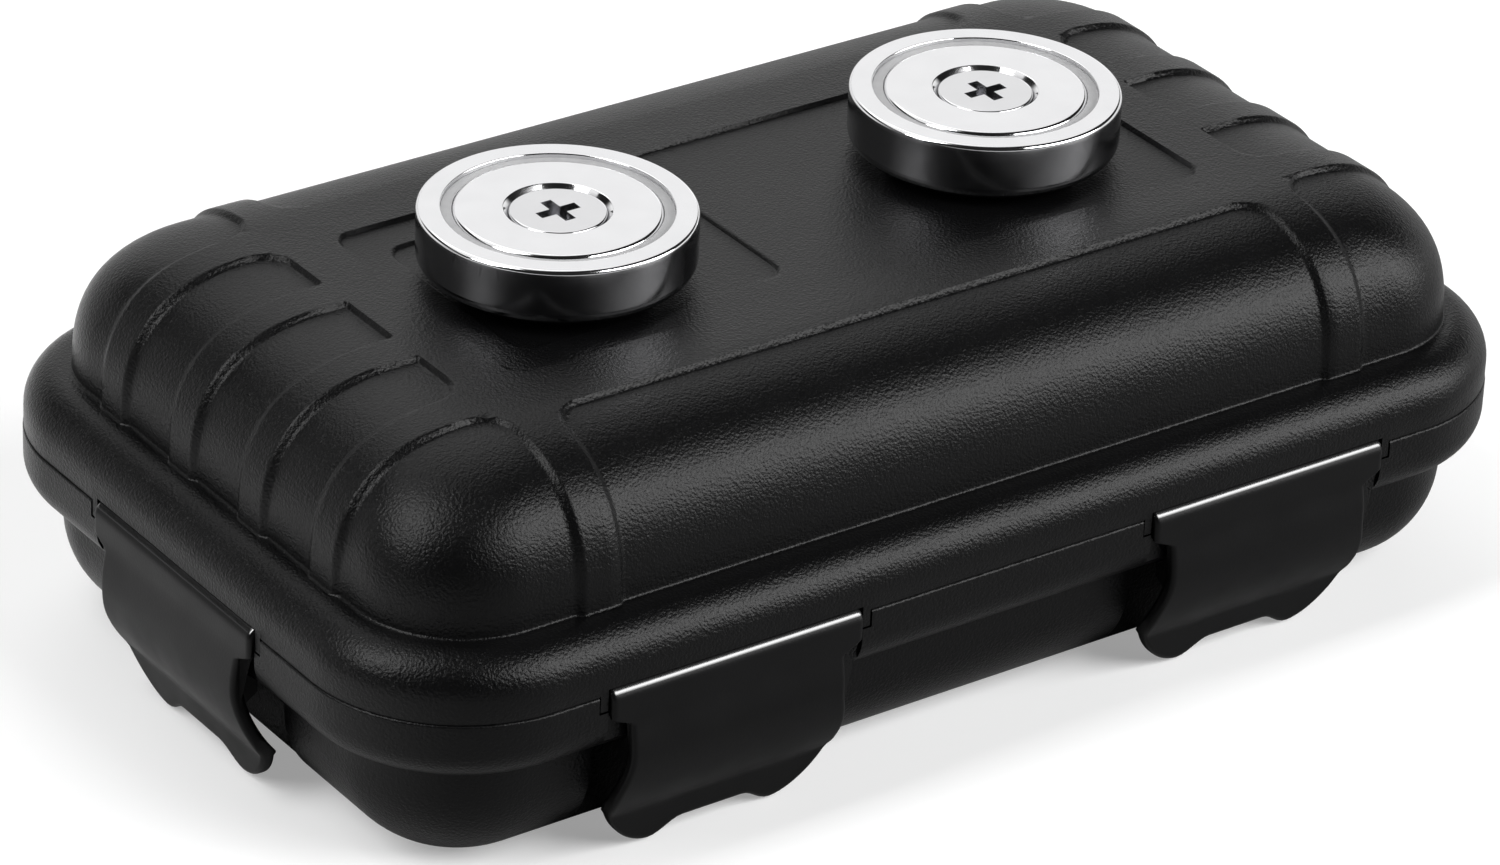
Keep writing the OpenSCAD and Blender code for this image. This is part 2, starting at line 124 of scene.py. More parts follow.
POCKET_W, POCKET_D, POCKET_WALL = 32.0, 4.0, 2.0
POCKET_R, POCKET_WALL_R = 0.6, 1.5

SPOTS = {
    "front_latch_left": (-LATCH_X, -RIM_Y, 0),
    "front_latch_right": (LATCH_X, -RIM_Y, 0),
    "rear_latch_left": (-LATCH_X, RIM_Y, 180),
    "rear_latch_right": (LATCH_X, RIM_Y, 180),
    "end_latch_left": (-RIM_X, 0, -90),
    "end_latch_right": (RIM_X, 0, 90),
}

# ---------------------------------------------------------------- sizes of the magnets

MAGNET_X = 30.0
CUP_R, CUP_H, CUP_RIM, CUP_FLOOR, CUP_EDGE = 16.0, 7.0, 2.75, 2.2, 1.6
RING_R, RING_LOW, SINK_R = 11.95, 0.2, 6.25
HOLE_R = 3.2
FILLER_LOW, FILLER_GAP = 0.5, 0.02
HEAD_R, HEAD_LIP, HEAD_LOW = 5.6, 0.3, 0.3
SCREW_R, SCREW_L = 3.0, 18.0
THREAD_PITCH, THREAD_DEPTH = 1.0, 0.55
CROSS_L, CROSS_W, CROSS_D = 5.2, 1.4, 1.6
CUP_Z = {side: node_box(f"magnet_cup_{side}")[0].z for side in ("left", "right")}


# ---------------------------------------------------------------- mesh tools

def mesh_object(name, points, faces):
    """A mesh piece from points in millimetres, with doubles merged and faces turned outwards."""
    mesh = bpy.data.meshes.new(name)
    mesh.from_pydata([[c * MM for c in p] for p in points], [], faces)
    obj = bpy.data.objects.new(name, mesh)
    bpy.context.scene.collection.objects.link(obj)
    bm = bmesh.new()
    bm.from_mesh(mesh)
    bmesh.ops.remove_doubles(bm, verts=bm.verts, dist=0.002 * MM)
    bmesh.ops.dissolve_degenerate(bm, edges=bm.edges, dist=0.001 * MM)
    bmesh.ops.recalc_face_normals(bm, faces=bm.faces)
    bm.to_mesh(mesh)
    bm.free()
    return obj


def flatten(obj):
    """Turns an object's modifiers into its plain mesh."""
    bpy.context.view_layer.update()
    evaluated = obj.evaluated_get(bpy.context.evaluated_depsgraph_get())
    mesh = bpy.data.meshes.new_from_object(evaluated)
    obj.modifiers.clear()
    old, obj.data = obj.data, mesh
    mesh.name = obj.name
    bpy.data.meshes.remove(old)
    return obj


def combine(obj, others, operation):
    """Cuts the others from obj, or adds them to it, and removes them."""
    for other in others:
        step = obj.modifiers.new(operation, "BOOLEAN")
        step.operation = operation
        step.solver = "MANIFOLD"
        step.object = other
        flatten(obj)
        bpy.data.objects.remove(other)
    return obj


def shade(obj, angle=32):
    """Smooth shading that keeps edges sharper than the angle, in degrees."""
    mesh = obj.data
    mesh.polygons.foreach_set("use_smooth", [True] * len(mesh.polygons))
    mesh.set_sharp_from_angle(angle=math.radians(angle))
    return obj


def prism(name, outline, low, high, place=Matrix.Identity(4)):
    """A solid between two heights over a plan outline, then moved by a matrix."""
    n = len(outline)
    points = [(x, y, z) for z in (low, high) for x, y in outline]
    faces = [tuple(range(n)), tuple(range(2 * n - 1, n - 1, -1))]
    faces += [(i, (i + 1) % n, n + (i + 1) % n, n + i) for i in range(n)]
    return mesh_object(name, [place @ Vector(p) for p in points], faces)


def lathe(name, profile, middle, segments=160):
    """Turns a closed profile of (radius, height) points round an upright axis."""
    n = len(profile)
    points, faces = [], []
    for i in range(segments):
        turn = math.tau * i / segments
        points += [(middle[0] + r * math.cos(turn), middle[1] + r * math.sin(turn), middle[2] + z)
                   for r, z in profile]
    for i in range(segments):
        j = (i + 1) % segments
        for k in range(n):
            m = (k + 1) % n
            if profile[k][0] > 0 or profile[m][0] > 0:
                faces.append((i * n + k, j * n + k, j * n + m, i * n + m))
    return mesh_object(name, points, faces)


def fillet(a, corner, b, radius, steps=5):
    """Points that round a profile's corner between the points a and b."""
    a, corner, b = (np.array(p, float) for p in (a, corner, b))
    to_a = (a - corner) / np.linalg.norm(a - corner)
    to_b = (b - corner) / np.linalg.norm(b - corner)
    half = math.acos(np.clip(to_a @ to_b, -1, 1)) / 2
    reach = radius / math.tan(half)
    middle = corner + (to_a + to_b) / np.linalg.norm(to_a + to_b) * radius / math.sin(half)
    start, end = corner + to_a * reach, corner + to_b * reach
    points = []
    for i in range(steps + 1):
        p = start + (end - start) * i / steps
        p = middle + (p - middle) / np.linalg.norm(p - middle) * radius
        points.append(tuple(p))
    return points


def rounded_profile(points, hold=0.03):
    """A closed profile from (radius, height, rounding) points, with points that hold its long straights flat."""
    corners = []
    for i, (r, z, rounding) in enumerate(points):
        before, after = points[i - 1], points[(i + 1) % len(points)]
        corners += fillet(before[:2], (r, z), after[:2], rounding) if rounding else [(r, z)]
    out = []
    for a, b in zip(corners, corners[1:] + corners[:1]):
        out.append(a)
        length = math.dist(a, b)
        if length > 10 * hold:
            out += [tuple(np.array(a) + (np.array(b) - a) * t) for t in (hold / length, 1 - hold / length)]
    return out


# ---------------------------------------------------------------- node trees

class Value:
    """A node's socket that can be used in Python expressions."""

    def __init__(self, tree, socket):
        self.tree = tree
        self.socket = socket

    def math(self, operation, *others):
        return node(self.tree, "ShaderNodeMath", {"operation": operation}, [self, *others])

    def __add__(self, other):
        return self.math("ADD", other)

    def __radd__(self, other):
        return self.math("ADD", other)

    def __mul__(self, other):
        return self.math("MULTIPLY", other)

    def __rmul__(self, other):
        return self.math("MULTIPLY", other)

    def __sub__(self, other):
        return self.math("SUBTRACT", other)

    def __rsub__(self, other):
        return node(self.tree, "ShaderNodeMath", {"operation": "SUBTRACT"}, [other, self])


def node(tree, kind, settings=None, inputs=(), output=0):
    """Adds a node: its settings first, then the values or links of its sockets, by order or by name."""
    new = tree.nodes.new(kind)
    for key, value in (settings or {}).items():
        setattr(new, key, value)
    pairs = inputs.items() if isinstance(inputs, dict) else enumerate(inputs)
    for key, value in pairs:
        if isinstance(value, Value):
            tree.links.new(value.socket, new.inputs[key])
        else:
            new.inputs[key].default_value = value
    return Value(tree, new.outputs[output])


def geometry_tree(name, sizes):
    """A Geometry Nodes tree with named sizes: the tree, the geometry that comes in and the sizes' values."""
    tree = bpy.data.node_groups.new(name, "GeometryNodeTree")
    tree.interface.new_socket("Geometry", in_out="INPUT", socket_type="NodeSocketGeometry")
    for size in sizes:
        tree.interface.new_socket(size, in_out="INPUT", socket_type="NodeSocketFloat")
    tree.interface.new_socket("Material", in_out="INPUT", socket_type="NodeSocketMaterial")
    tree.interface.new_socket("Geometry", in_out="OUTPUT", socket_type="NodeSocketGeometry")
    sockets = tree.nodes.new("NodeGroupInput").outputs
    values = [Value(tree, sockets[size]) for size in ("Geometry", *sizes, "Material")]
    return tree, values


def end_tree(tree, geometry, material):
    """Ends a Geometry Nodes tree: real meshes with their material."""
    real = node(tree, "GeometryNodeRealizeInstances", None, {"Geometry": geometry})
    dressed = node(tree, "GeometryNodeSetMaterial", None, {"Geometry": real, "Material": material})
    out = tree.nodes.new("NodeGroupOutput")
    tree.links.new(dressed.socket, out.inputs[0])
    return tree


def pair_tree():
    """Repeats a rib along X, evenly about its own place."""
    tree, (rib, count, spacing, material) = geometry_tree("ribs", ("Count", "Spacing"))
    first = node(tree, "ShaderNodeCombineXYZ", None, [spacing * (count - 1) * -0.5])
    step = node(tree, "ShaderNodeCombineXYZ", None, [spacing])
    line = node(tree, "GeometryNodeMeshLine", {"mode": "OFFSET"},
                {"Count": count, "Start Location": first, "Offset": step})
    ribs = node(tree, "GeometryNodeInstanceOnPoints", None, {"Points": line, "Instance": rib})
    return end_tree(tree, ribs, material)


def thread_tree():
    """Winds a thread of a three-sided profile round a screw's shank and adds it to the screw."""
    tree, (shank, radius, pitch, turns, depth, low, material) = geometry_tree(
        "thread", ("Radius", "Pitch", "Turns", "Depth", "Low"))
    path = node(tree, "GeometryNodeCurveSpiral", None, {
        "Resolution": 48, "Rotations": turns, "Start Radius": radius, "End Radius": radius, "Height": pitch * turns})
    upright = node(tree, "GeometryNodeSetCurveNormal", {"mode": "Z_UP"}, {"Curve": path})
    profile = node(tree, "GeometryNodeCurvePrimitiveCircle", None, {"Resolution": 3, "Radius": depth})
    wound = node(tree, "GeometryNodeCurveToMesh", None,
                 {"Curve": upright, "Profile Curve": profile, "Fill Caps": True})
    height = node(tree, "ShaderNodeCombineXYZ", None, {2: low})
    placed = node(tree, "GeometryNodeTransform", None, {"Geometry": wound, "Translation": height})
    both = tree.nodes.new("GeometryNodeJoinGeometry")
    for part in (shank, placed):
        tree.links.new(part.socket, both.inputs[0])
    return end_tree(tree, Value(tree, both.outputs[0]), material)


def apply_tree(obj, tree, **sizes):
    """Runs a tree on an object and keeps its plain mesh."""
    step = obj.modifiers.new(tree.name, "NODES")
    step.node_group = tree
    for item in tree.interface.items_tree:
        if item.in_out == "INPUT" and item.name in sizes:
            step[item.identifier] = sizes[item.name]
    return flatten(obj)


# ---------------------------------------------------------------- the moulded skins

def graded(marks, start, end, fine, coarse, reach=1.0):
    """Positions from start to end, close together near the marks."""
    lines = [start]
    while lines[-1] < end:
        near = min((abs(lines[-1] + coarse / 2 - m) for m in marks), default=end) < reach + coarse / 2
        lines.append(lines[-1] + (fine if near else coarse))
    return start + (np.array(lines) - start) * (end - start) / (lines[-1] - start)


def mirrored(half):
    """Positions on both sides of nought."""
    return np.concatenate([-half[:0:-1], half])


FLAT_X, FLAT_Y = 51.0, 18.5         # half sizes of the rectangle in the middle of the flat top
FLAT_IN = RIM_X - FLAT_X


def gathered(count, both=True):
    """Shares from 0 to 1 that gather at the end, or at both ends."""
    t = np.arange(1, count + 1) / count
    eased = (1 - np.cos(math.pi * t)) / 2 if both else np.sin(math.pi / 2 * t)
    return 0.3 * t + 0.7 * eased


class Ring:
    """Places points round rings that follow the rim, with lines that keep to the edges of the relief."""

    def __init__(self, x_lines, y_lines, corner_steps):
        self.x_lines = x_lines
        self.y_lines = y_lines
        self.shares = [gathered(n, k > 0) for k, n in enumerate(corner_steps)]

    def corner(self, half_x, half_y, r):
        """Points and outward directions of the corner at +X and -Y."""
        centre_x, centre_y = half_x - r, half_y - r
        before, after = centre_x - FLAT_X, centre_y - FLAT_Y
        whole = before + r * math.pi / 2 + after

        def reach(value, centre, straight, flat):
            """How far along a side, or round the corner, the ring meets an edge line of the relief."""
            if value <= centre or r < 0.01:
                return min(value - flat, straight)
            return straight + r * math.asin(min((value - centre) / r, 1))

        knots = [0.0]
        if len(self.shares) > 1:
            gap = 0.1 * whole
            first = min(reach(SIDE_BAND_X, centre_x, before, FLAT_X), 0.36 * whole)
            last = whole - reach(1.5 * END_PITCH - END_BAND / 2, centre_y, after, FLAT_Y)
            last = min(max(last, first + 2 * gap), whole - 0.02 * whole)
            second = whole - reach(CORNER_Y, centre_y, after, FLAT_Y)
            knots += [first, min(max(second, first + gap), last - 0.5 * gap), last]
        knots.append(whole)
        s = np.concatenate([a + (b - a) * share for a, b, share in zip(knots, knots[1:], self.shares)])[:-1]
        turn = np.clip((s - before) / max(r, 1e-6), 0, math.pi / 2)
        x = FLAT_X + np.minimum(s, before) + r * np.sin(turn)
        y = -centre_y - r * np.cos(turn) + np.maximum(s - before - r * math.pi / 2, 0)
        return np.column_stack([x, y]), np.column_stack([np.sin(turn), -np.cos(turn)])

    def points(self, inset, r):
        """All the points of one ring, anticlockwise from the front left, with outward directions."""
        half_x, half_y = RIM_X - inset, RIM_Y - inset
        front = np.column_stack([self.x_lines, np.full(len(self.x_lines), -half_y)])
        right = np.column_stack([np.full(len(self.y_lines), half_x), self.y_lines])
        corner, corner_out = self.corner(half_x, half_y, r)
        flip = np.array([1, -1])
        half = np.concatenate([front, corner, right, corner[::-1] * flip])
        out = np.concatenate([
            np.tile([0, -1], (len(front), 1)), corner_out,
            np.tile([1, 0], (len(right), 1)), corner_out[::-1] * flip,
        ])
        return np.concatenate([half, -half]), np.concatenate([out, -out])


def skin(rows, ring, depth=None):
    """Points and faces of a skin over rows: inset, height, corner radius, normal out and up, share of the relief."""
    points = []
    for inset, z, r, n_out, n_up, share in rows:
        plan, out = ring.points(inset, r)
        drop = share * depth(plan) if depth is not None else np.zeros(len(plan))
        plan = plan - out * (drop * n_out)[:, None]
        points.append(np.column_stack([plan, z - drop * n_up]))
    n = len(points[0])
    faces = [
        (row * n + i, row * n + (i + 1) % n, (row + 1) * n + (i + 1) % n, (row + 1) * n + i)
        for row in range(len(rows) - 1) for i in range(n)
    ]
    return np.concatenate(points), faces


def sheet_over(ring, z, first, depth=None):
    """The level rectangle in the middle of a skin's last ring."""
    x, y = np.meshgrid(ring.x_lines, ring.y_lines)
    plan = np.column_stack([x.ravel(), y.ravel()])
    drop = depth(plan) if depth is not None else 0
    points = np.column_stack([plan, z - np.zeros(len(plan)) - drop])
    nx = len(ring.x_lines)
    faces = [
        (first + j * nx + i, first + j * nx + i + 1, first + (j + 1) * nx + i + 1, first + (j + 1) * nx + i)
        for j in range(len(ring.y_lines) - 1) for i in range(nx - 1)
    ]
    return points, faces


def rounded(inset, z, run, rise, r, r_end, steps, share=0.0, form=2.0):
    """Rows of an edge that turns from upright to level, given as two half axes and a fullness."""
    rows = []
    for i in range(steps + 1):
        t = i / steps
        a = math.pi / 2 * (t if form == 2 else (t * t * (3 - 2 * t) + t) / 2)
        c, s = max(math.cos(a), 0) ** (2 / form), math.sin(a) ** (2 / form)
        out, up = abs(rise) * c ** (form - 1), run * s ** (form - 1) * math.copysign(1, rise)
        size = math.hypot(out, up)
        rows.append((inset + run * (1 - c), z + rise * s, r + (r_end - r) * (1 - c), out / size, up / size, share))
    return rows


def box_distance(plan, x, y, half_x, half_y, r):
    """Signed distance to a plan rectangle with round corners, negative inside."""
    q = np.abs(plan - np.array([x, y])) - np.array([half_x - r, half_y - r])
    return np.linalg.norm(np.maximum(q, 0), axis=1) + np.minimum(q.max(axis=1), 0) - r


RAMP_IN = np.linspace(0, 1, 65)
RAMP_OUT = np.cumsum(np.minimum(np.minimum(RAMP_IN / 0.2, 1), (1 - RAMP_IN) / 0.35))
RAMP_OUT = (RAMP_OUT - RAMP_OUT[0]) / (RAMP_OUT[-1] - RAMP_OUT[0])


def step_down(distance, width=STEP_WIDTH):
    """0 outside an outline and 1 inside it, with a slope between that has a tight edge and a soft foot."""
    return np.interp(0.5 - distance / width, RAMP_IN, RAMP_OUT)


def lid_depth(plan):
    """How far the lid's surface lies below its raised bands, over plan points."""
    far = 100.0
    half = (END_PITCH - END_BAND) / 2
    pads = []
    for s in (-1, 1):
        pads.append(box_distance(plan, s * (END_PAD_X + far), 0, far, half, 0.3))
        for k in (-1, 1):
            outer = box_distance(plan, s * (END_PAD_X + far), k * (END_PITCH - PAD_R), far, half + PAD_R, PAD_R)
            inner = box_distance(plan, s * (END_PAD_X + far), k * (END_PITCH + PAD_R), far, half + PAD_R, 0.3)
            pads.append(np.maximum(outer, inner))
    pads += [box_distance(plan, 0, s * (SIDE_PAD_Y + far), SIDE_BAND_X - SIDE_BAND, far, PAD_R) for s in (-1, 1)]
    pads += [box_distance(plan, sx * (SIDE_BAND_X + far), sy * (CORNER_Y + far), far, far, PAD_R)
             for sx in (-1, 1) for sy in (-1, 1)]
    panel = box_distance(plan, 0, 0, PANEL_L / 2, PANEL_W / 2, PANEL_R)
    bay = box_distance(plan, BAY_X, 0, BAY_L / 2, BAY_W / 2, PANEL_R)
    from_rim = -box_distance(plan, 0, 0, RIM_X, RIM_Y, RIM_R)
    slope = WALL_SLOPE + (PAD_SLOPE - WALL_SLOPE) * np.clip((from_rim - 14) / 8, 0, 1)
    return RELIEF * step_down(np.min(pads, axis=0), slope) + PANEL_D * step_down(panel) + BAY_D * step_down(bay)


def closed_skin(name, rows, ring, top, depth=None):
    """A closed solid: its skin, a flat face under the first row and a level sheet over the last one."""
    points, faces = skin(rows, ring, depth)
    n = len(points) // len(rows)
    more, more_faces = sheet_over(ring, top, len(points), depth)
    faces = [tuple(range(n - 1, -1, -1))] + faces + more_faces
    return mesh_object(name, np.concatenate([points, more]), faces)


def inward(inset, to, z, r, steps, share):
    """Level rows that run in from an inset to the edge of the middle rectangle."""
    return [(inset + (to - inset) * i / steps, z, r * (1 - i / steps), 0, 1, share) for i in range(1, steps + 1)]


def rim_ring(name, inset, width, low, high):
    """A flat ring that follows the rim."""
    ring = Ring(np.array([-FLAT_X, FLAT_X]), np.array([-FLAT_Y, FLAT_Y]), (40,))
    edges = [ring.points(i, RIM_R - i)[0] for i in (inset, inset + width)]
    rows = [np.column_stack([p, np.full(len(p), z)])
            for p, z in ((edges[0], low), (edges[0], high), (edges[1], high), (edges[1], low))]
    n = len(edges[0])
    faces = [(a * n + i, a * n + (i + 1) % n, b * n + (i + 1) % n, b * n + i)
             for a, b in ((0, 1), (1, 2), (2, 3), (3, 0)) for i in range(n)]
    return mesh_object(name, np.concatenate(rows), faces)


# ---------------------------------------------------------------- what every latch place needs

def latch_place(name):
    """The matrix from a latch's own frame, with -Y outwards and z = 0 at the parting plane."""
    x, y, turn = SPOTS[name]
    return Matrix.Translation((x, y, PARTING)) @ Matrix.Rotation(math.radians(turn), 4, "Z")


ALONG_X = Matrix(((0, 0, 1, 0), (1, 0, 0, 0), (0, 1, 0, 0), (0, 0, 0, 1)))   # side view (y, z), then x


def bar(name, r, width, place, middle=0.0):
    """A round bar along a latch's hinge axis."""
    circle = [(AXIS_IN + r * math.cos(a), -AXIS_DOWN + r * math.sin(a)) for a in np.linspace(0, math.tau, 65)[:-1]]
    return prism(name, circle, middle - width / 2, middle + width / 2, place @ ALONG_X)


def block(name, width, y0, y1, z0, z1, place, middle=0.0):
    """A block across a width, in a latch's own frame."""
    outline = [(y0, z0), (y1, z0), (y1, z1), (y0, z1)]
    return prism(name, outline, middle - width / 2, middle + width / 2, place @ ALONG_X)


def metres(place):
    """A matrix in millimetres, for a mesh in metres."""
    return Matrix.Diagonal((MM, MM, MM, 1)) @ place @ Matrix.Diagonal((1 / MM, 1 / MM, 1 / MM, 1))


def round_block(name, width, y0, y1, z0, z1, place, r):
    """A block with its upright and upper edges rounded, as a moulded pocket has."""
    obj = block(name, width, y0, y1, z0, z1, Matrix.Identity(4))
    bevel = obj.modifiers.new("round", "BEVEL")
    bevel.width = r * MM
    bevel.segments = 5
    bevel.limit_method = "ANGLE"
    flatten(obj)
    obj.data.transform(metres(place))
    return obj


# ---------------------------------------------------------------- lid

def make_lid():
    marks_x = [SIDE_BAND_X - SIDE_BAND, PANEL_L / 2, -BAY_X + BAY_L / 2, -BAY_X - BAY_L / 2]
    marks_y = [(END_PITCH - END_BAND) / 2, (END_PITCH + END_BAND) / 2, BAY_W / 2, PANEL_W / 2]
    ring = Ring(mirrored(graded(marks_x, 0, FLAT_X, 0.2, 1.4)), mirrored(graded(marks_y, 0, FLAT_Y, 0.2, 0.9)),
                (14, 48, 24, 6))
    rows = [(0.4 * EDGE, PARTING, RIM_R - 0.4 * EDGE, 1, 0, 0), (0, PARTING + EDGE, RIM_R, 1, 0, 0)]
    rows += rounded(0, PARTING + LID_LIP, LEDGE, LEDGE, RIM_R, WALL_R, 14)
    for i in range(1, 5):
        a = math.radians(90 * i / 5)
        rows.append((LEDGE - FILLET * (1 - math.sin(a)), LID_FOOT + FILLET * (1 - math.cos(a)), WALL_R, 1, 0, 1))
    dome = rounded(LEDGE, LID_FOOT + LID_WALL, LID_RUN, LID_RISE, WALL_R, TOP_R, 260, 1, LID_FORM)
    marks = (RIM_Y - SIDE_PAD_Y, RIM_Y - CORNER_Y, RIM_X - END_PAD_X, RIM_X - SIDE_BAND_X, RIM_Y - PANEL_W / 2)
    rows += thin_out([row for row in dome if row[1] > LID_FOOT + FILLET], marks, 0.9, 0.2)
    for inset in graded(marks, LEDGE + LID_RUN, FLAT_IN, 0.14, 0.6, 0.4)[1:]:
        rows.append((inset, LID_Z, TOP_R * (FLAT_IN - inset) / (FLAT_IN - LEDGE - LID_RUN), 0, 1, 1))
    lid = closed_skin("lid", rows, ring, LID_Z, lid_depth)

    coarse = Ring(np.linspace(-FLAT_X, FLAT_X, 9), np.linspace(-FLAT_Y, FLAT_Y, 5), (26,))
    inner = [(LEDGE + WALL, PARTING - 1, WALL_R - WALL, 1, 0, 0)]
    inner += rounded(LEDGE + WALL, LID_FOOT + LID_WALL, LID_RUN - WALL, LID_INNER - LID_FOOT - LID_WALL,
                     WALL_R - WALL, TOP_R, 24, 0, LID_FORM)
    inner += inward(LEDGE + LID_RUN, FLAT_IN, LID_INNER, TOP_R, 1, 0)
    cuts = [closed_skin("cavity", inner, coarse, LID_INNER)]
    added = [rim_ring("tongue", GROOVE_IN + (GROOVE_W - TONGUE_W) / 2, TONGUE_W, PARTING - TONGUE_DROP, PARTING + 1)]
    for name in SPOTS:
        place = latch_place(name)
        for side in (-1, 1):
            middle = side * (RECESS_W + EAR_T) / 2
            ear = bar("ear", EAR_R, EAR_T, place, middle)
            combine(ear, [block("root", EAR_T, 0, AXIS_IN + EAR_R, -AXIS_DOWN, 1, place, middle)], "UNION")
            added.append(combine(ear, [block("face", 2 * EAR_T, -9, 0, -9, 9, place, middle)], "DIFFERENCE"))
        cuts.append(bar("recess", RECESS_R, RECESS_W, place))
        cuts.append(bar("bore", PIN_R, RECESS_W + 2 * EAR_T + 1, place))
    for x in (-MAGNET_X, MAGNET_X):
        circle = [(x + HOLE_R * math.cos(a), HOLE_R * math.sin(a)) for a in np.linspace(0, math.tau, 65)[:-1]]
        cuts.append(prism("hole", circle, PARTING, LID_Z + 1))
    combine(lid, added, "UNION")
    combine(lid, cuts, "DIFFERENCE")
    return shade(lid)


def thin_out(rows, marks, coarse, fine, reach=0.9):
    """Keeps rows a coarse distance apart, or a fine one near the marked insets."""
    kept = [rows[0]]
    for row in rows[1:]:
        near = min(abs(row[0] - m) for m in marks) < reach
        if math.hypot(row[0] - kept[-1][0], row[1] - kept[-1][1]) >= (fine if near else coarse):
            kept.append(row)
    return kept + [rows[-1]]


# ---------------------------------------------------------------- base

def make_base():
    ring = Ring(np.linspace(-FLAT_X, FLAT_X, 35), np.linspace(-FLAT_Y, FLAT_Y, 14), (48,))
    rim_r, wall_r = RIM_R + BASE_OUT, RIM_R - BASE_IN
    under = rounded(BASE_IN, FOOT_EDGE, FOOT_EDGE, -FOOT_EDGE, wall_r, FOOT_R, 24)
    lip = rounded(-BASE_OUT, PARTING - BASE_LIP, BASE_QUARTER, -BASE_QUARTER, rim_r, wall_r, 14)
    rows = under[::-1] + lip[::-1]
    for i in range(5):
        a = math.radians(90 * i / 4)
        rows.append((EDGE * (1 - math.cos(a)) - BASE_OUT, PARTING - EDGE * (1 - math.sin(a)),
                     rim_r - EDGE * (1 - math.cos(a)), 1, 0, 0))
    rows += inward(EDGE - BASE_OUT, FLAT_IN, PARTING, rim_r - EDGE, 2, 0)
    base = closed_skin("base", rows, ring, PARTING)

    inner = rounded(LEDGE + WALL, FOOT_EDGE, FOOT_EDGE - WALL, WALL - FOOT_EDGE, WALL_R - WALL, FOOT_R, 20)[::-1]
    inner.append((LEDGE + WALL, PARTING + 1, WALL_R - WALL, 1, 0, 0))
    inner += inward(LEDGE + WALL, FLAT_IN, PARTING + 1, WALL_R - WALL, 1, 0)
    cavity = closed_skin("cavity", inner, ring, PARTING + 1)
    far = 2 * PARTING
    walls, cuts = [], []
    for name in SPOTS:
        place = latch_place(name)
        back, top = LEDGE + POCKET_D, BASE_FOOT - PARTING
        walls.append(round_block("pocket_wall", POCKET_W + 2 * POCKET_WALL, -1, back + POCKET_WALL, -far,
                                 top + POCKET_WALL, place, POCKET_WALL_R))
        cuts.append(round_block("pocket", POCKET_W, -4, back, -far, top, place, POCKET_R))
        cuts.append(bar("recess", RECESS_R, RECESS_W, place))
        cuts.append(block("seat", RECESS_W, -1, SEAT_IN, -far, 1, place))
        cuts.append(block("mouth", RECESS_W, -1, AXIS_IN + RECESS_R, -AXIS_DOWN, 1, place))
        ear_w = RECESS_W + 2 * EAR_T + 2 * EAR_GAP
        cuts.append(bar("ear_recess", EAR_R + EAR_GAP, ear_w, place))
        cuts.append(block("ear_mouth", ear_w, -1, AXIS_IN + EAR_R + EAR_GAP, -AXIS_DOWN, 1, place))
    cuts.append(rim_ring("groove", GROOVE_IN, GROOVE_W, PARTING - GROOVE_D, PARTING + 1))
    combine(base, [combine(cavity, walls, "DIFFERENCE")] + cuts, "DIFFERENCE")
    return shade(base)


# ---------------------------------------------------------------- latches

def wave(t):
    """A smooth rise from 0 to 1."""
    return (1 - math.cos(math.pi * t)) / 2


WAIST_Z = -(STRIP_H + SLOPE_H)
BEND_Z = WAIST_Z - WAIST_H
LIP_Z = PULL_H - LATCH_DROP
SWELL_H = SLOPE_H + WAIST_H          # the face swells out from the strip over this height


def latch_face(z):
    """How far in the latch's outer face lies at a height, and its slope there."""
    if z > -STRIP_H:
        return -STRIP_OUT, 0.0
    if z > BEND_Z:
        t = (-STRIP_H - z) / SWELL_H
        rise = STRIP_OUT - WAIST_OUT
        return -STRIP_OUT + rise * wave(t), -rise * math.pi / 2 * math.sin(math.pi * t) / SWELL_H
    if z > LIP_Z:
        t = (BEND_Z - z) / (BEND_Z - LIP_Z)
        rise = PULL_IN + WAIST_OUT
        return rise * t * t - WAIST_OUT, -2 * rise * t / (BEND_Z - LIP_Z)
    return PULL_IN + LIP_IN * (LIP_Z - z) / PULL_H, -LIP_IN / PULL_H


def half_width(z):
    """Half width of a latch from the front, down to its widest point below the waist."""
    if z > -STRIP_H:
        return LATCH_W / 2
    if z > WAIST_Z:
        return (LATCH_W + (WAIST_W - LATCH_W) * wave((-STRIP_H - z) / SLOPE_H)) / 2
    if z > BEND_Z:
        return WAIST_W / 2
    return (WAIST_W + (FLARE_W - WAIST_W) * wave((BEND_Z - z) / (BEND_Z + FLARE_DOWN))) / 2


def lowest(x):
    """Height of a latch's lower edge at a distance from its middle."""
    x = abs(x)
    if x < NOTCH_W / 2:
        return NOTCH_H - LATCH_DROP
    if x < LOBE_X:
        return NOTCH_H * wave((LOBE_X - x) / (LOBE_X - NOTCH_W / 2)) - LATCH_DROP
    share = min((x - LOBE_X) / (FLARE_W / 2 - LOBE_X), 1)
    sine = math.sqrt(max(0, 1 - share ** (2 / LOBE_FORM)))
    return -FLARE_DOWN - (LATCH_DROP - FLARE_DOWN) * sine ** LOBE_FORM


LATCH_EDGE = 0.55                    # rounding of a latch's edges


def softened(edge):
    """How far a face draws back at a distance from the edge of a plate with rounded edges."""
    if edge >= LATCH_EDGE:
        return 0.0
    return LATCH_EDGE - math.sqrt(LATCH_EDGE ** 2 - (LATCH_EDGE - edge) ** 2)


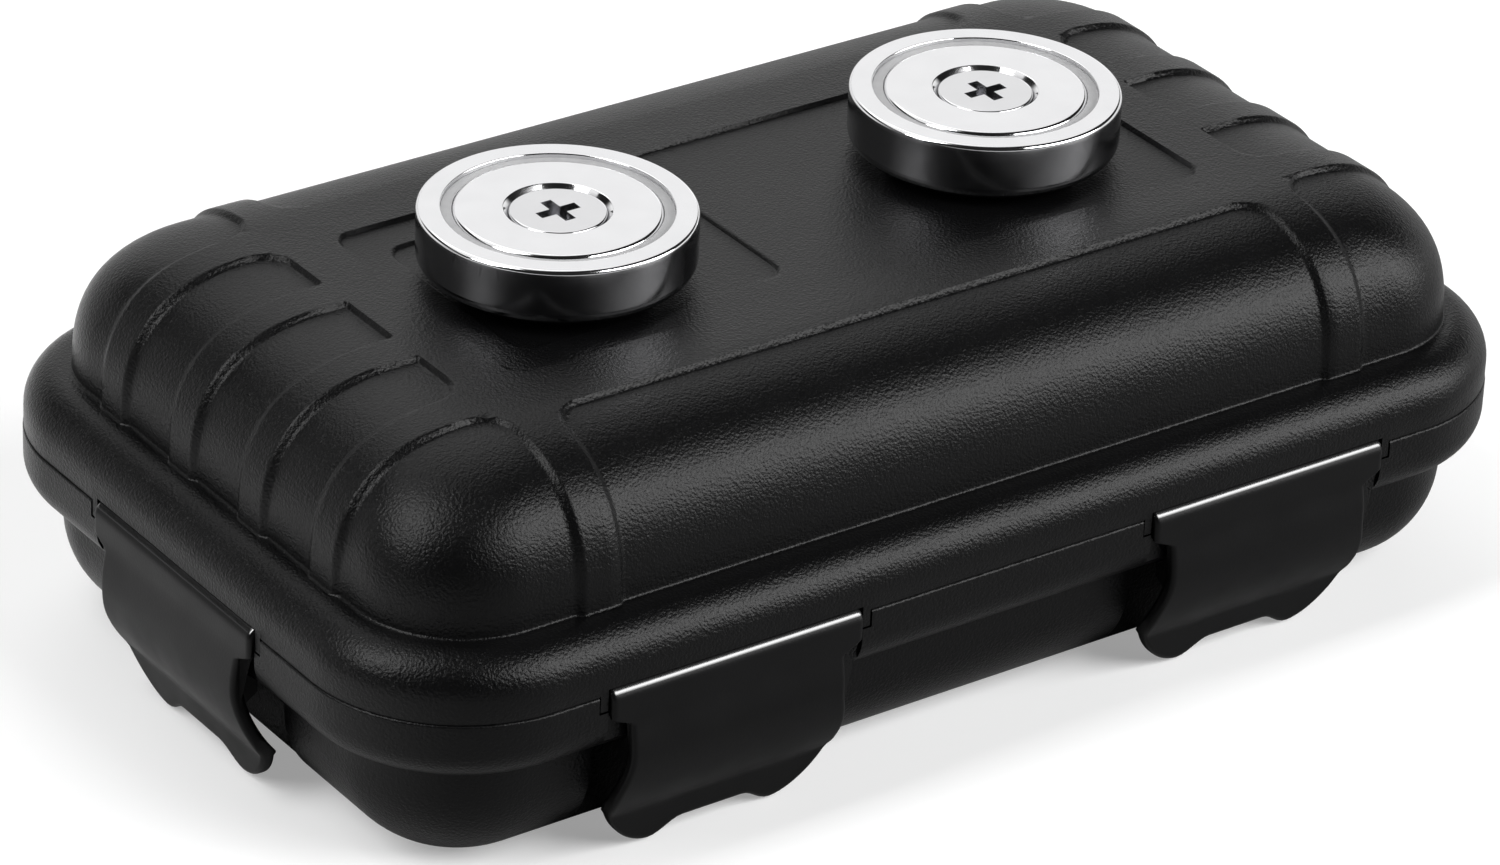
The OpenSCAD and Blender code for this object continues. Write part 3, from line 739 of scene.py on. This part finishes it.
def latch_loop(u):
    """The closed side view of a latch at u, from -1 to 1 across its width, as (x, y, z) points."""
    def at(z, side):
        """A point on the outer (side 0) or inner (side 1) face."""
        x = u * half_width(max(z, -FLARE_DOWN)) if z > -FLARE_DOWN else u * FLARE_W / 2
        y, slope = latch_face(z)
        thick = LATCH_T * math.hypot(1, slope)
        if z > WAIST_Z:
            thick = 0.5 * LATCH_T
            if z < -STRIP_H:
                thick += 0.5 * LATCH_T * (z + STRIP_H) / (WAIST_Z + STRIP_H)
        edge = (1 - abs(u)) * FLARE_W / 2
        if z < -FLARE_DOWN:
            edge = min(edge, (z - lowest(x)) * 0.85)
        back = softened(max(edge, 0)) * math.hypot(1, slope)
        return (x, y + back if side == 0 else y + thick - back, z)

    x_flare = u * FLARE_W / 2
    bottom = lowest(x_flare)
    upper = list(np.linspace(-AXIS_DOWN, -STRIP_H, 4)) + list(np.linspace(-STRIP_H, WAIST_Z, 9)[1:])
    upper += list(np.linspace(WAIST_Z, BEND_Z, 4)[1:]) + list(np.linspace(BEND_Z, -FLARE_DOWN, 9)[1:])
    shares = [1 - (1 - t) ** 1.8 for t in np.linspace(0, 1, 26)[1:]]
    lower = [-FLARE_DOWN + (bottom + FLARE_DOWN) * s for s in shares]
    heights = upper + lower
    outer = [at(z, 0) for z in heights]
    inner = [at(z, 1) for z in reversed(heights) if z < -STRIP_H + 0.01]
    edge = softened((1 - abs(u)) * LATCH_W / 2)
    r = BARREL_R - edge
    start = math.atan2(-STRIP_H + AXIS_DOWN, 0.5 * LATCH_T - STRIP_OUT - AXIS_IN)
    turns = np.linspace(start, math.pi, 30)[1:-1]
    barrel = [(u * LATCH_W / 2, AXIS_IN + r * math.cos(a), -AXIS_DOWN + r * math.sin(a)) for a in turns]
    return outer + inner + barrel


def make_latch(name):
    place = latch_place(name)
    across = [math.sin(t) for t in np.linspace(-math.pi / 2, math.pi / 2, 61)]
    loops = [latch_loop(u) for u in across]
    n = len(loops[0])
    points = [place @ Vector(p) for loop in loops for p in loop]
    faces = [(k * n + i, k * n + (i + 1) % n, (k + 1) * n + (i + 1) % n, (k + 1) * n + i)
             for k in range(len(loops) - 1) for i in range(n)]
    faces += [tuple(range(n - 1, -1, -1)), tuple(range((len(loops) - 1) * n, len(loops) * n))]
    latch = mesh_object(name + "_body", points, faces)
    hooks = prism("hook", hook_side(), -HOOK_T / 2, HOOK_T / 2, ALONG_X)
    apply_tree(hooks, PAIR_TREE, Count=2.0, Spacing=2 * HOOK_X * MM)
    hooks.data.transform(metres(place))
    combine(latch, [hooks], "UNION")
    combine(latch, [bar("bore", PIN_R + 0.03, LATCH_W + 1, place)], "DIFFERENCE")
    return shade(latch, 38)


def hook_side():
    """Side view of a rib that reaches in under the base rim."""
    turns = [math.radians(HOOK_TURN * (0.5 + 0.5 * i / 10)) for i in range(11)]
    points = [(BASE_IN - HOOK_R * math.cos(a), -BASE_LIP - HOOK_R * math.sin(a)) for a in turns]
    points.append((points[-1][0], points[-1][1] - HOOK_H))
    for t in (0.3, 0):
        z = BEND_Z + (LIP_Z - BEND_Z) * t
        points.append((latch_face(z)[0] + LATCH_T / 2, z))
    return points


# ---------------------------------------------------------------- magnets

def make_cup(side, middle):
    return shade(lathe(f"magnet_{side}_cup_body", rounded_profile([
        (HOLE_R, 0, 0.2), (CUP_R, 0, CUP_EDGE), (CUP_R, CUP_H, 0.45), (CUP_R - CUP_RIM, CUP_H, 0.15),
        (CUP_R - CUP_RIM, CUP_FLOOR, 0), (HOLE_R, CUP_FLOOR, 0),
    ]), middle))


def make_magnet(side, middle):
    top = CUP_H - RING_LOW
    return shade(lathe(f"magnet_{side}_ring_body", rounded_profile([
        (HOLE_R, CUP_FLOOR, 0), (RING_R, CUP_FLOOR, 0), (RING_R, top, 0.5), (SINK_R, top, 0.25),
        (HOLE_R, top - SINK_R + HOLE_R, 0),
    ]), middle))


def make_filler(side, middle):
    outer, inner = CUP_R - CUP_RIM - FILLER_GAP, RING_R + FILLER_GAP
    top = CUP_H - FILLER_LOW
    return shade(lathe(f"magnet_{side}_filler_body", [
        (outer, CUP_FLOOR), (outer, top), ((outer + inner) / 2, top - 0.12), (inner, top), (inner, CUP_FLOOR),
    ], middle))


def make_screw(side, middle):
    top = CUP_H - RING_LOW - HEAD_LOW
    cone = top - HEAD_LIP - (HEAD_R - SCREW_R)
    end = top - SCREW_L
    plain, core = 2.0, SCREW_R - THREAD_DEPTH
    screw = lathe(f"magnet_{side}_screw_body", rounded_profile([
        (0, top, 0), (HEAD_R, top, 0.25), (HEAD_R, top - HEAD_LIP, 0.05), (SCREW_R, cone, 0),
        (SCREW_R, cone - plain, 0), (core, cone - plain - THREAD_DEPTH, 0), (core, end, 0.3), (0, end, 0),
    ]), (0, 0, 0), 96)
    outline = [(x * CROSS_L / 2, y * CROSS_W / 2) for x, y in ((-1, -1), (1, -1), (1, 1), (-1, 1))]
    arms = [prism("cross", outline, top - CROSS_D, top + 1, Matrix.Rotation(math.radians(turn), 4, "Z"))
            for turn in (0, 90)]
    combine(screw, arms, "DIFFERENCE")
    turns = (cone - plain - end - 3 * THREAD_DEPTH) / THREAD_PITCH
    apply_tree(screw, THREAD_TREE, Radius=(core + 0.2 * THREAD_DEPTH) * MM, Pitch=THREAD_PITCH * MM, Turns=turns,
               Depth=0.8 * THREAD_DEPTH * MM, Low=(end + THREAD_DEPTH) * MM)
    screw.data.transform(metres(Matrix.Translation(middle)))
    return shade(screw)


# ---------------------------------------------------------------- finishes

def finish(name, constants, varying):
    """A material: constants on the shader's own sockets, and varying(tree, position) for what changes."""
    material = bpy.data.materials.new(name)
    material.use_nodes = True
    tree = material.node_tree
    tree.nodes.clear()
    shader = node(tree, "ShaderNodeBsdfPrincipled", None, constants)
    position = node(tree, "ShaderNodeTexCoord", output=3)
    for socket, value in varying(tree, position).items():
        tree.links.new(value.socket, shader.socket.node.inputs[socket])
    out = tree.nodes.new("ShaderNodeOutputMaterial")
    tree.links.new(shader.socket, out.inputs[0])
    return material


def noise(tree, position, size, detail=2.0, roughness=0.5):
    """Noise with features of a size in millimetres."""
    return node(tree, "ShaderNodeTexNoise", None,
                {"Vector": position, "Scale": 1 / (size * MM), "Detail": detail, "Roughness": roughness})


def cells(tree, position, size):
    """Rounded cells of a size in millimetres."""
    return node(tree, "ShaderNodeTexVoronoi", {"feature": "SMOOTH_F1"},
                {"Vector": position, "Scale": 1 / (size * MM)})


def along(tree, position, direction):
    """How far a position lies along a direction."""
    return node(tree, "ShaderNodeVectorMath", {"operation": "DOT_PRODUCT"}, [position, direction], output=1)


def fitted(value, low, high, to_low, to_high):
    """Maps one range of a value to another."""
    return node(value.tree, "ShaderNodeMapRange", None, [value, low, high, to_low, to_high])


def bump(tree, height, depth):
    """A normal from a height of 0 to 1 that is so many millimetres deep."""
    return node(tree, "ShaderNodeBump", None, {"Height": height, "Distance": depth * MM, "Strength": 1.0})


def tint(tree, factor, dark, light):
    """Mixes two greys, the first of which may be another mix."""
    first = dark if isinstance(dark, Value) else (*dark, 1)
    return node(tree, "ShaderNodeMix", {"data_type": "RGBA"}, {0: factor, 6: first, 7: (*light, 1)}, output=2)


def shell_finish(tree, position):
    """Grained black plastic: fine pebbles with smoother wear between them."""
    pebbles = cells(tree, position, 0.34)
    fine = noise(tree, position, 0.18, 2.0, 0.55)
    patches = noise(tree, position, 9.0, 3.0)
    height = pebbles * 0.6 + fine * 0.5
    return {
        "Base Color": tint(tree, patches, (0.0016, 0.0016, 0.0017), (0.0024, 0.0024, 0.0026)),
        "Roughness": fitted(fine * 0.6 + patches * 0.4, 0.3, 0.7, 0.26, 0.35),
        "Normal": bump(tree, height, 0.095),
    }


def level(tree, position):
    """How far up a position lies."""
    return node(tree, "ShaderNodeSeparateXYZ", None, [position], output=2)


def latch_finish(tree, position):
    """Smoother black plastic with a faint grain, polished where the barrel shows at the seam."""
    fine = noise(tree, position, 0.3, 2.0)
    patches = noise(tree, position, 6.0, 2.0)
    barrel = fitted(level(tree, position), (PARTING + 0.02) * MM, (PARTING + 0.22) * MM, 0, 1)
    return {
        "Coat Weight": barrel * fitted(patches, 0.2, 0.8, 0.85, 1.0),
        "Base Color": tint(tree, patches, (0.0018, 0.0018, 0.0019), (0.0026, 0.0026, 0.0028)),
        "Roughness": fitted(patches, 0.3, 0.7, 0.34, 0.44),
        "Normal": bump(tree, fine, 0.012),
    }


def chrome_finish(tree, position):
    """Bright nickel plating with a faint orange peel, rougher below the magnet's face, where its colour is painted
    darker as painted shade for the dark lid that the flank reflects.
    """
    peel = noise(tree, position, 1.6, 2.0)
    haze = noise(tree, position, 4.0, 2.0)
    rim = CUP_Z["right"] + CUP_H
    flank_shade_and_dull = fitted(level(tree, position), (rim - 0.9) * MM, (rim - 0.4) * MM, 1, 0)
    bright = tint(tree, haze, (0.77, 0.77, 0.78), (0.84, 0.84, 0.85))
    return {
        # painted shade: the flank below the face is coloured dark grey, standing in for the dark lid it reflects
        "Base Color": tint(tree, flank_shade_and_dull, bright, (0.36, 0.36, 0.37)),
        "Roughness": fitted(haze, 0.3, 0.7, 0.07, 0.13) + flank_shade_and_dull * 0.07,
        "Normal": bump(tree, peel, 0.004),
    }


def steel_finish(tree, position):
    """Zinc-plated steel with a fine mottle."""
    mottle = noise(tree, position, 0.7, 3.0)
    return {
        "Base Color": tint(tree, mottle, (0.42, 0.42, 0.43), (0.6, 0.6, 0.61)),
        "Roughness": fitted(mottle, 0.3, 0.7, 0.25, 0.4),
        "Normal": bump(tree, mottle, 0.006),
    }


def shade_dark_pin_finish(tree, position):
    """Steel coloured near-black for the latch pins, painted shade that keeps their ends as dark as the gaps beside
    the latches.
    """
    mottle = noise(tree, position, 0.5, 3.0)
    return {
        # painted shade: a near-black colour so the pins' ends show no brighter than the shaded gaps
        "Base Color": tint(tree, mottle, (0.012, 0.012, 0.013), (0.025, 0.025, 0.027)),
        "Roughness": fitted(mottle, 0.3, 0.7, 0.35, 0.5),
        "Normal": bump(tree, mottle, 0.004),
    }


def potting_finish(tree, position):
    """Grey resin, slightly uneven."""
    uneven = noise(tree, position, 1.2, 3.0)
    return {
        "Base Color": tint(tree, uneven, (0.26, 0.26, 0.265), (0.38, 0.38, 0.385)),
        "Roughness": fitted(uneven, 0.3, 0.7, 0.4, 0.6),
        "Normal": bump(tree, uneven, 0.02),
    }


def rubber_finish(tree, position):
    """Matt black rubber."""
    dust = noise(tree, position, 0.4, 3.0)
    return {
        "Base Color": tint(tree, dust, (0.008, 0.008, 0.008), (0.016, 0.016, 0.016)),
        "Roughness": fitted(dust, 0.3, 0.7, 0.7, 0.85),
        "Normal": bump(tree, dust, 0.01),
    }


FINISHES = {
    "shell": finish("grained_black_plastic", {"Specular IOR Level": 0.165}, shell_finish),
    "latch": finish("satin_black_plastic",
                    {"Specular IOR Level": 0.15, "Coat IOR": 2.1, "Coat Roughness": 0.17}, latch_finish),
    "chrome": finish("bright_nickel", {"Metallic": 1.0}, chrome_finish),
    "steel": finish("zinc_plated_steel", {"Metallic": 1.0}, steel_finish),
    "pin": finish("pin_steel_painted_dark", {"Metallic": 1.0}, shade_dark_pin_finish),
    "potting": finish("grey_potting", {"Specular IOR Level": 0.4}, potting_finish),
    "rubber": finish("black_rubber", {"Specular IOR Level": 0.3}, rubber_finish),
}


def add_piece(obj, body, slot, *replaced):
    """Finishes a piece, fixes it to its body and hides the CAD nodes that it stands for."""
    obj.data.materials.clear()
    obj.data.materials.append(FINISHES[slot])
    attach(obj, body)
    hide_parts(*replaced)


# ---------------------------------------------------------------- assembly

PAIR_TREE = pair_tree()
THREAD_TREE = thread_tree()
add_piece(make_base(), "base", "shell", "base_shell")
add_piece(make_lid(), "lid", "shell", "lid_shell")
for latch in SPOTS:
    add_piece(make_latch(latch), latch, "latch", latch)
for side, x in (("left", -MAGNET_X), ("right", MAGNET_X)):
    seat = Vector((x, 0, CUP_Z[side]))
    add_piece(make_cup(side, seat), "lid", "chrome", f"magnet_cup_{side}")
    add_piece(make_magnet(side, seat), "lid", "chrome", f"magnet_ring_{side}")
    add_piece(make_filler(side, seat), "lid", "potting", f"magnet_filler_{side}")
    add_piece(make_screw(side, seat), "lid", "chrome", f"magnet_screw_{side}")

slots = {part["node"]: part["material_slot"] for part in frame["record"]["subparts"]}
for name, obj in frame["nodes"].items():
    if not obj.hide_render:
        for place in obj.material_slots:
            place.material = FINISHES["pin" if "_pin_" in name else slots[name]]


# ---------------------------------------------------------------- stage, light and camera

BEHIND = (0.593, 0.805, 0)           # level directions, seen from the camera
LEFT = (-0.8, 0.6, 0)


def ray_kinds(tree):
    """Whether a ray comes from the camera, and whether it is a reflection."""
    path = node(tree, "ShaderNodeLightPath").socket.node.outputs
    return Value(tree, path["Is Camera Ray"]), Value(tree, path["Is Glossy Ray"])


def make_stage():
    """A white floor that keeps the shadow, darker to the gloss of the object except beside and behind it."""
    size = 3000
    floor = mesh_object("floor", [(-size, -size, 0), (size, -size, 0), (size, size, 0), (-size, size, 0)],
                        [(0, 1, 2, 3)])
    material = bpy.data.materials.new("white_floor")
    material.use_nodes = True
    tree = material.node_tree
    tree.nodes.clear()
    seen, glossy = ray_kinds(tree)
    position = node(tree, "ShaderNodeTexCoord", output=3)
    away = node(tree, "ShaderNodeVectorMath", {"operation": "LENGTH"}, [position], output=1)
    beside = fitted(along(tree, position, LEFT), 0.03, 0.1, 0, 1) * fitted(away, 0.14, 0.3, 1, 0)
    colour = tint(tree, seen, (0.35, 0.35, 0.35), (0.98, 0.98, 0.98))
    colour = tint(tree, glossy * beside, colour, (0.95, 0.95, 0.95))
    lit = node(tree, "ShaderNodeBsdfDiffuse", None, {"Color": colour})
    white = node(tree, "ShaderNodeEmission", None, {"Strength": 1.0})
    far = fitted(away, 0.3, 0.9, 0, 1) * fitted(along(tree, position, BEHIND), -0.1, 0.3, 0, 1)
    share = (seen * 0.32).math("MAXIMUM", glossy * far)
    mixed = node(tree, "ShaderNodeMixShader", None, [share, lit, white])
    out = tree.nodes.new("ShaderNodeOutputMaterial")
    tree.links.new(mixed.socket, out.inputs[0])
    floor.data.materials.append(material)


def softbox(name, azimuth, elevation, wide, high, roll, radiance, distance=1.2):
    """A soft lamp that faces the object, its half sizes given as tangents seen from the object."""
    turn, rise = math.radians(azimuth), math.radians(elevation)
    facing = Vector((math.cos(turn) * math.cos(rise), math.sin(turn) * math.cos(rise), math.sin(rise)))
    side = Vector((0, 0, 1)).cross(facing).normalized()
    axes = Matrix((side, facing.cross(side), facing)).transposed()
    light = bpy.data.lights.new(name, "AREA")
    light.shape = "RECTANGLE"
    light.size, light.size_y = 2 * wide * distance, 2 * high * distance
    light.energy = 4 * radiance * light.size * light.size_y
    lamp = bpy.data.objects.new(name, light)
    bpy.context.scene.collection.objects.link(lamp)
    place = axes.to_4x4() @ Matrix.Rotation(math.radians(roll), 4, "Z")
    lamp.matrix_world = Matrix.Translation(facing * distance) @ place


def make_world():
    """White to the camera, a white backdrop low behind the object to its gloss, and a faint grey as a light."""
    world = bpy.data.worlds.new("studio")
    bpy.context.scene.world = world
    world.use_nodes = True
    tree = world.node_tree
    tree.nodes.clear()
    seen, glossy = ray_kinds(tree)
    direction = node(tree, "ShaderNodeTexCoord")
    height = level(tree, direction)
    backdrop = fitted(along(tree, direction, BEHIND), -0.25, 0.25, 0, 1) * fitted(height, 0.2, 0.34, 1, 0)
    strength = seen.math("MAXIMUM", glossy * backdrop) * 0.985 + 0.015
    background = node(tree, "ShaderNodeBackground", None, {"Color": (1, 1, 1, 1), "Strength": strength})
    out = tree.nodes.new("ShaderNodeOutputWorld")
    tree.links.new(background.socket, out.inputs[0])


def make_camera():
    """The photograph's viewpoint, from its azimuth, elevation, roll, distance and offset."""
    azimuth, elevation, roll = (math.radians(a) for a in (-36.362, 28.897, 2.581))
    focal_px, image_px = 6798.5, 1500
    offset = Vector((-1.746, -4.884, 793.815))
    back = Vector((math.sin(azimuth) * math.cos(elevation), -math.cos(azimuth) * math.cos(elevation),
                   math.sin(elevation)))
    right = Vector((math.cos(azimuth), math.sin(azimuth), 0))
    up = back.cross(right)
    turned_right = right * math.cos(roll) + up * math.sin(roll)
    turned_up = up * math.cos(roll) - right * math.sin(roll)
    data = bpy.data.cameras.new("camera")
    data.sensor_width = 36
    data.lens = focal_px / image_px * data.sensor_width
    data.clip_end = 20
    camera = bpy.data.objects.new("camera", data)
    bpy.context.scene.collection.objects.link(camera)
    rows = Matrix((turned_right, turned_up, back))
    spot = rows.transposed() @ offset + Vector((0, 0, PARTING))
    camera.matrix_world = Matrix.Translation(spot * MM) @ rows.transposed().to_4x4()
    bpy.context.scene.camera = camera


make_stage()
make_world()
make_camera()
softbox("key", -52, 31, 0.27, 0.56, -132, 6.6)
softbox("fill", 171, 46, 0.16, 0.42, 9, 7.2)
softbox("backdrop", 65, 37, 0.5, 0.33, 8, 0.8)
softbox("overhead", 112, 60, 0.72, 0.32, -4, 0.78)
bpy.context.scene.view_settings.view_transform = "Standard"
